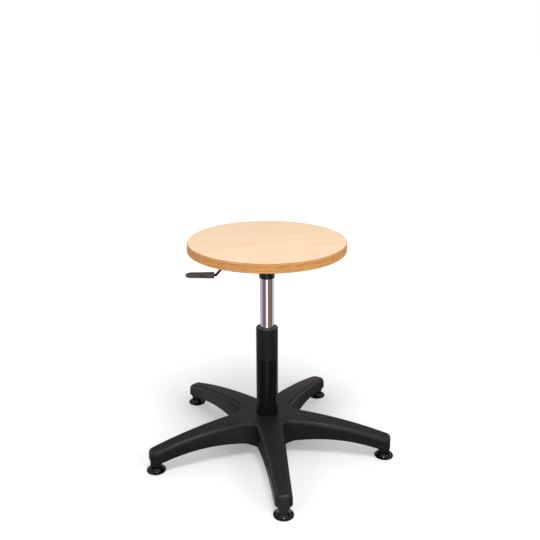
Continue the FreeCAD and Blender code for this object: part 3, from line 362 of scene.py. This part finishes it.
class STOOL_OT_seat(bpy.types.Operator):
    """Dress the plywood seat"""
    bl_idname = "stool.seat"
    bl_label = "Seat"

    def execute(self, context):
        dress(["seat_disc"], lacquered_birch_ply(context.scene.stool.seat))
        return {"FINISHED"}


class STOOL_OT_seat_plate(bpy.types.Operator):
    """Dress the plate, socket, bracket and screws under the seat"""
    bl_idname = "stool.seat_plate"
    bl_label = "Seat plate"

    def execute(self, context):
        dress(["seat_plate", "taper_socket", "lever_bracket"], finish_named("black stoved enamel"))
        dress(["seat_screws", "lever_pin", "pin_clip"], finish_named("zinc plated steel"))
        return {"FINISHED"}


class STOOL_OT_lift(bpy.types.Operator):
    """Dress the gas lift and its stand tube"""
    bl_idname = "stool.lift"
    bl_label = "Gas lift"

    def execute(self, context):
        dress(["column_tube"], stand_tube_paint(context.scene.stool.lift))
        dress(["pressure_tube"], finish_named("chrome plate"))
        dress(["guide_bush"], finish_named("acetal bush"))
        dress(["piston_rod", "release_button", "inner_cylinder", "tube_end_disc", "clip_washer", "rod_clip",
               "bearing_lower_washer", "bearing_upper_washer", "bearing_balls"], finish_named("ground steel"))
        dress(["rod_guide", "piston"], finish_named("machined aluminium"))
        dress(["ball_cage"], finish_named("pressed brass"))
        dress(["rod_seal", "piston_ring", "rubber_buffer"], finish_named("nitrile rubber"))
        dress(["valve_body"], finish_named("natural acetal"))
        return {"FINISHED"}


class STOOL_OT_base(bpy.types.Operator):
    """Dress the five-arm base"""
    bl_idname = "stool.base"
    bl_label = "Base"

    def execute(self, context):
        dress(["star_base"], moulded_nylon(context.scene.stool.base))
        return {"FINISHED"}


class STOOL_OT_glides(bpy.types.Operator):
    """Dress the glides, their stems and the rings that hold them"""
    bl_idname = "stool.glides"
    bl_label = "Glides"

    def execute(self, context):
        feet = [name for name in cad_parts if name.startswith("glide_foot")]
        stems = [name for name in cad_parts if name.startswith("glide_stem")]
        dress(feet, finish_named("polypropylene glide"))
        dress(stems + ["grip_rings"], finish_named("zinc plated steel"))
        return {"FINISHED"}


class STOOL_OT_lever(bpy.types.Operator):
    """Dress the release lever"""
    bl_idname = "stool.lever"
    bl_label = "Release lever"

    def execute(self, context):
        dress(["lever_grip", "lever_yoke"], moulded_grip(context.scene.stool.lever))
        dress(["lever_rod"], finish_named("black stoved enamel"))
        return {"FINISHED"}


# Stage

# The stage is in metres. The floor is so wide that its edge lies at the horizon. Where the camera sees it, it
# adds to its own light: less by the stool, where the lamps light it, than far off.
FLOOR_SIDE = 80.0
LIFT_START, LIFT_END = 0.2, 2.4
NEAR_LIFT, FAR_LIFT = 0.23, 0.58

# Painted reflections stand round the stool: a glowing bowl of grey and brown bands, in place of a product
# studio's cards, with white rows for painted highlights. Only reflections see it. Each row is a direction in
# degrees from +X towards +Y and the colour there. The camera stands at -90.
PAINTED_REFLECTION_BANDS = (
    (-180, "#858789"), (-164, "#928B8B"), (-155, "#665756"), (-125, "#6D5C62"), (-112, "#8A828D"),
    (-103, "#8A828D"), (-99, "#FFFFFF"), (-78, "#FFFFFF"), (-74, "#6A5257"), (-58, "#6A5257"),
    (-40, "#7C675D"), (-16, "#726351"), (2, "#5E5046"), (22, "#5E5046"), (25, "#FFFFFF"), (35, "#FFFFFF"),
    (38, "#665C58"), (70, "#7A6E68"), (92, "#858789"), (112, "#5E5046"), (142, "#6D5C62"),
    (145, "#FFFFFF"), (155, "#FFFFFF"), (158, "#5E5754"), (172, "#858789"), (180, "#858789"),
)
REFLECTION_BOWL_REACH = 5.0
REFLECTION_BOWL_HEIGHT = 6.0
REFLECTION_BOWL_LIFT = 2 * MM

# The painted reflections are dim within this distance of the stool's foot, a painted shade in the lower
# tube's reflection, and reach full brightness a little farther out.
NEAR_PAINTED_REFLECTION, FULL_PAINTED_REFLECTION = 0.62, 0.72
DIM_SHARE = 0.35

# Each lamp is a soft square: its place, the point that it faces and its side.
LAMPS = {
    "top": ((0.1, -0.75, 2.2), (0.0, 0.0, 0.1), 0.6),
    "right": ((1.9, -1.8, 1.5), (0.0, 0.0, 0.3), 1.2),
    "left": ((-1.9, -1.9, 1.4), (0.0, 0.0, 0.3), 1.0),
}

# The camera stands in front of the stool and looks down at it. Its sensor and lens are in millimetres, and
# its shift is a share of the sensor's width.
CAMERA_PLACE = (0.0, -1.5015, 0.9197)
CAMERA_DOWN = math.radians(17.19)
CAMERA_PAN = math.radians(1.1)
CAMERA_ROLL = math.radians(-0.49)
CAMERA_SENSOR = 36.0
CAMERA_LENS = 47.39
CAMERA_SHIFT = (0.030, -0.0158)


def seen_directly(tree):
    """1 for rays that show the background: to the camera, in a reflection or through something clear."""
    path = add(tree, "ShaderNodeLightPath")
    seen = path.outputs["Is Camera Ray"]
    for kind in ("Is Glossy Ray", "Is Transmission Ray"):
        seen = add(tree, "ShaderNodeMath", {0: seen, 1: path.outputs[kind]}, operation="MAXIMUM")
    return seen


def add_floor(settings):
    """A pale floor that is white to the camera, so only the stool's shadow shows on it."""
    bpy.ops.mesh.primitive_plane_add(size=FLOOR_SIDE)
    floor = bpy.context.object
    floor.name = "studio_floor"
    material, tree, shader = new_material("studio floor", settings.floor, 0.9)
    place = add(tree, "ShaderNodeTexCoord").outputs["Object"]
    away = add(tree, "ShaderNodeVectorMath", {0: place}, operation="LENGTH")
    lift = add(tree, "ShaderNodeMapRange", {"Value": away, "From Min": LIFT_START, "From Max": LIFT_END,
                                            "To Min": NEAR_LIFT, "To Max": FAR_LIFT},
               interpolation_type="SMOOTHSTEP")
    glow = add(tree, "ShaderNodeMath", {0: seen_directly(tree), 1: lift}, operation="MULTIPLY")
    feed(shader, {"Emission Color": WHITE, "Emission Strength": glow})

    # From below the floor is clear, so that the underside can be looked at.
    below = add(tree, "ShaderNodeNewGeometry").outputs["Backfacing"]
    clear = add(tree, "ShaderNodeBsdfTransparent")
    sides = add(tree, "ShaderNodeMixShader", {0: below, 1: shader, 2: clear})
    feed(tree.nodes["Material Output"], {"Surface": sides})
    floor.data.materials.append(material)


def reflection_bowl_mesh():
    """The painted reflections' mesh: a disc just above the floor and a wall round it."""
    bowl = bmesh.new()
    bmesh.ops.create_circle(bowl, cap_ends=True, radius=REFLECTION_BOWL_REACH, segments=72)
    bmesh.ops.translate(bowl, vec=(0.0, 0.0, REFLECTION_BOWL_LIFT), verts=bowl.verts)
    wall = bmesh.ops.extrude_edge_only(bowl, edges=bowl.edges[:])
    top = [item for item in wall["geom"] if isinstance(item, bmesh.types.BMVert)]
    bmesh.ops.translate(bowl, vec=(0.0, 0.0, REFLECTION_BOWL_HEIGHT), verts=top)
    mesh = bpy.data.meshes.new("studio_cards")
    bowl.to_mesh(mesh)
    bowl.free()
    return mesh


def painted_reflection_material(settings):
    """The painted reflections' glow. It is dim close to the stool, a painted shade that keeps the lower tube
    dark.
    """
    material, tree, shader = new_material("studio cards", BLACK, 1.0, level=0.0)
    place = add(tree, "ShaderNodeTexCoord").outputs["Object"]
    turn = add(tree, "ShaderNodeTexGradient", {"Vector": place}, gradient_type="RADIAL")
    ramp = add(tree, "ShaderNodeValToRGB", {"Fac": turn.outputs["Fac"]})
    elements = ramp.color_ramp.elements
    while len(elements) > 1:
        elements.remove(elements[-1])
    for index, (degrees, code) in enumerate(PAINTED_REFLECTION_BANDS):
        position = degrees / 360 + 0.5
        if index:
            elements.new(position)
        elements[index].position = position
        elements[index].color = linear(code)
    away = add(tree, "ShaderNodeVectorMath", {0: place}, operation="LENGTH")
    strength = add(tree, "ShaderNodeMapRange", {"Value": away, "From Min": NEAR_PAINTED_REFLECTION, "From Max": FULL_PAINTED_REFLECTION,
                                                "To Min": DIM_SHARE * settings.painted_reflections,
                                                "To Max": settings.painted_reflections}, interpolation_type="SMOOTHSTEP")
    feed(shader, {"Emission Color": ramp, "Emission Strength": strength})
    return material


def add_painted_reflections(settings):
    """The bowl of painted reflections round the stool, which only reflections see."""
    painted_reflections = bpy.data.objects.new("studio_cards", reflection_bowl_mesh())
    painted_reflections.data.materials.append(painted_reflection_material(settings))
    bpy.context.collection.objects.link(painted_reflections)
    for kind in ("camera", "diffuse", "transmission", "volume_scatter", "shadow"):
        setattr(painted_reflections, "visible_" + kind, False)


def add_world(settings):
    """Even light from all round, under a white sky."""
    world = bpy.data.worlds.new("studio")
    bpy.context.scene.world = world
    world.use_nodes = True
    tree = world.node_tree
    tree.nodes.clear()
    glow = add(tree, "ShaderNodeMapRange", {"Value": seen_directly(tree), "To Min": settings.ambient,
                                            "To Max": 1.0})
    sky = add(tree, "ShaderNodeBackground", {"Color": WHITE, "Strength": glow})
    add(tree, "ShaderNodeOutputWorld", {"Surface": sky})


def add_lamps(settings):
    """Adds the lamps, each turned to the point that it faces."""
    for name, (place, target, side) in LAMPS.items():
        light = bpy.data.lights.new(name + "_light", "AREA")
        light.size = side
        light.energy = getattr(settings, name)
        lamp = bpy.data.objects.new(name + "_light", light)
        lamp.location = place
        lamp.rotation_euler = (Vector(target) - Vector(place)).to_track_quat("-Z", "Y").to_euler()
        bpy.context.collection.objects.link(lamp)


def add_camera():
    """Adds the camera that sees the stool as the photo does."""
    camera = bpy.data.objects.new("photo_camera", bpy.data.cameras.new("photo_camera"))
    camera.data.sensor_width = CAMERA_SENSOR
    camera.data.lens = CAMERA_LENS
    camera.data.shift_x, camera.data.shift_y = CAMERA_SHIFT
    pan = Matrix.Rotation(CAMERA_PAN, 4, "Z")
    tilt = Matrix.Rotation(math.radians(90.0) - CAMERA_DOWN, 4, "X")
    roll = Matrix.Rotation(CAMERA_ROLL, 4, "Z")
    camera.matrix_world = Matrix.Translation(CAMERA_PLACE) @ pan @ tilt @ roll
    bpy.context.collection.objects.link(camera)
    bpy.context.scene.camera = camera
    bpy.context.scene.view_settings.view_transform = "Standard"


class STOOL_OT_stage(bpy.types.Operator):
    """Set up the floor, lights and camera"""
    bl_idname = "stool.stage"
    bl_label = "Stage"

    def execute(self, context):
        settings = context.scene.stool.stage
        add_floor(settings)
        add_world(settings)
        add_painted_reflections(settings)
        add_lamps(settings)
        add_camera()
        return {"FINISHED"}


OPERATORS = (STOOL_OT_seat, STOOL_OT_seat_plate, STOOL_OT_lift, STOOL_OT_base, STOOL_OT_glides,
             STOOL_OT_lever, STOOL_OT_stage)


class STOOL_PT_panel(bpy.types.Panel):
    """Lists the stool's pieces and the stage"""
    bl_idname = "STOOL_PT_panel"
    bl_label = "Machinist stool"
    bl_space_type = "VIEW_3D"
    bl_region_type = "UI"
    bl_category = "Stool"

    def draw(self, context):
        for operator in OPERATORS:
            self.layout.operator(operator.bl_idname)


CLASSES = (StoolSeatSettings, StoolLiftSettings, StoolBaseSettings, StoolLeverSettings, StoolStageSettings,
           StoolSettings) + OPERATORS + (STOOL_PT_panel,)


def register():
    for cls in CLASSES:
        bpy.utils.register_class(cls)
    bpy.types.Scene.stool = PointerProperty(type=StoolSettings)


def unregister():
    del bpy.types.Scene.stool
    for cls in reversed(CLASSES):
        bpy.utils.unregister_class(cls)


def main():
    register()
    bpy.ops.stool.seat()
    bpy.ops.stool.seat_plate()
    bpy.ops.stool.lift()
    bpy.ops.stool.base()
    bpy.ops.stool.glides()
    bpy.ops.stool.lever()
    bpy.ops.stool.stage()


if __name__ == "__main__":
    main()
